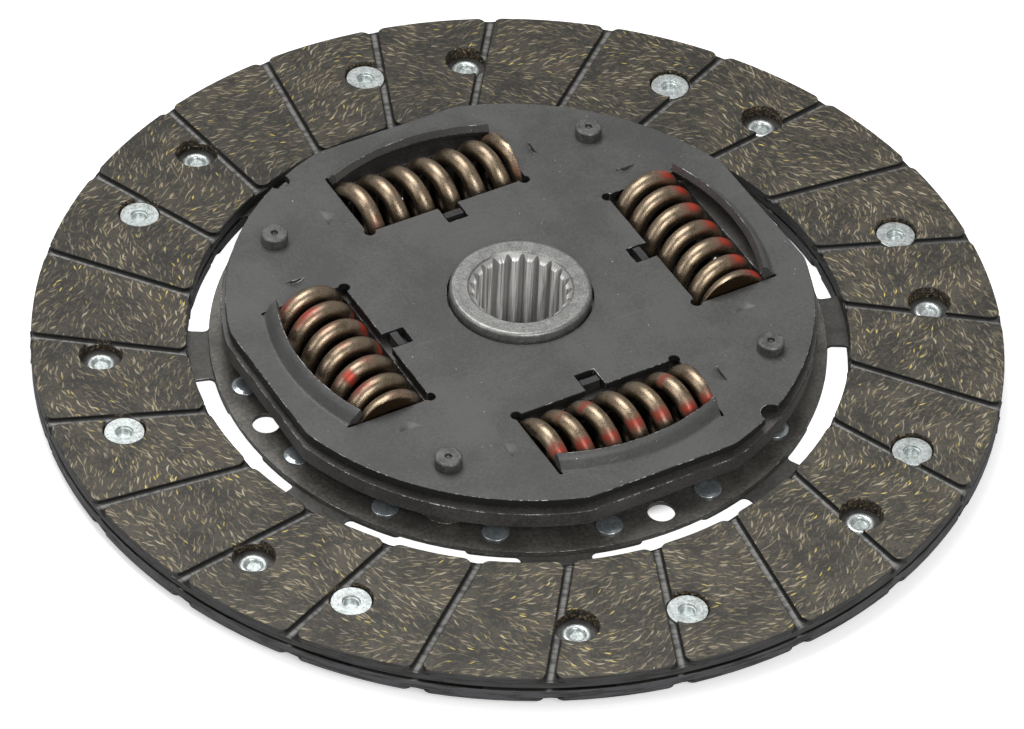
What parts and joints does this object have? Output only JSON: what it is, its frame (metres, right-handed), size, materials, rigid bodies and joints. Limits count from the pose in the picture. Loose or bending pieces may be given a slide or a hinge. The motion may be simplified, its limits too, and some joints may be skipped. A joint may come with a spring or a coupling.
{
  "type": "clutch disc",
  "caption": "Dry friction clutch disc with riveted grooved facings, cushion segments, a coil-spring torsion damper and a splined hub.",
  "frame": {"origin": "on the hub axis, in the middle plane of the cushion segments", "axes": "+Z along the hub axis towards the gearbox side, where the cover plate and spring windows show; +X and +Y each through the middle of a spring window"},
  "size_m": [0.228, 0.228, 0.0244],
  "materials": {
    "friction_lining": "matt woven friction lining, dark grey-brown with short golden fibres",
    "segment_steel": "blue-grey spring steel sheet",
    "rivet_steel": "zinc-plated, slightly bluish",
    "bolt_steel": "bare turned steel",
    "plate_steel": "dark grey phosphated steel, satin",
    "flange_steel": "brownish-grey hardened steel",
    "hub_steel": "machined, satin",
    "spring_steel": "shot-peened spring steel, olive-bronze, with red paint marks",
    "moulded_polymer": "moulded friction polymer, dark grey"
  },
  "bodies": {
    "disc": {"facing_gearbox_side": "friction_lining", "facing_flywheel_side": "friction_lining", "facing_rivets_gearbox_side": "rivet_steel", "facing_rivets_flywheel_side": "rivet_steel", "cushion_segment_1": "segment_steel", "cushion_segment_2": "segment_steel", "cushion_segment_3": "segment_steel", "cushion_segment_4": "segment_steel", "cushion_segment_5": "segment_steel", "cushion_segment_6": "segment_steel", "cushion_segment_7": "segment_steel", "cushion_segment_8": "segment_steel", "segment_rivets": "rivet_steel", "driven_plate": "plate_steel", "cover_plate": "plate_steel", "spacer_bolt_1": "bolt_steel", "spacer_bolt_2": "bolt_steel", "spacer_bolt_3": "bolt_steel", "spacer_bolt_4": "bolt_steel", "centring_bush": "moulded_polymer", "friction_ring_flywheel_side": "moulded_polymer", "friction_ring_gearbox_side": "moulded_polymer", "disc_spring": "spring_steel"},
    "hub_body": {"hub": "hub_steel", "hub_flange": "flange_steel"},
    "spring_set": {"damper_spring_1": "spring_steel", "damper_spring_2": "spring_steel", "damper_spring_3": "spring_steel", "damper_spring_4": "spring_steel"}
  },
  "joints": [
    {"name": "hub_twist", "type": "hinge", "parent": "disc", "child": "hub_body", "pos_m": [0, 0, 0.0087], "axis": [0, 0, 1], "range_deg": [-8, 8], "stiffness_Nm_per_rad": 900, "deforming": ["damper_spring_1", "damper_spring_2", "damper_spring_3", "damper_spring_4"]},
    {"name": "spring_follow", "type": "hinge", "parent": "disc", "child": "spring_set", "pos_m": [0, 0, 0.0087], "axis": [0, 0, 1], "range_deg": [-4.1, 4.1]}
  ],
  "couplings": [
    {"joint": "spring_follow", "follows": "hub_twist", "ratio": 0.5}
  ]
}
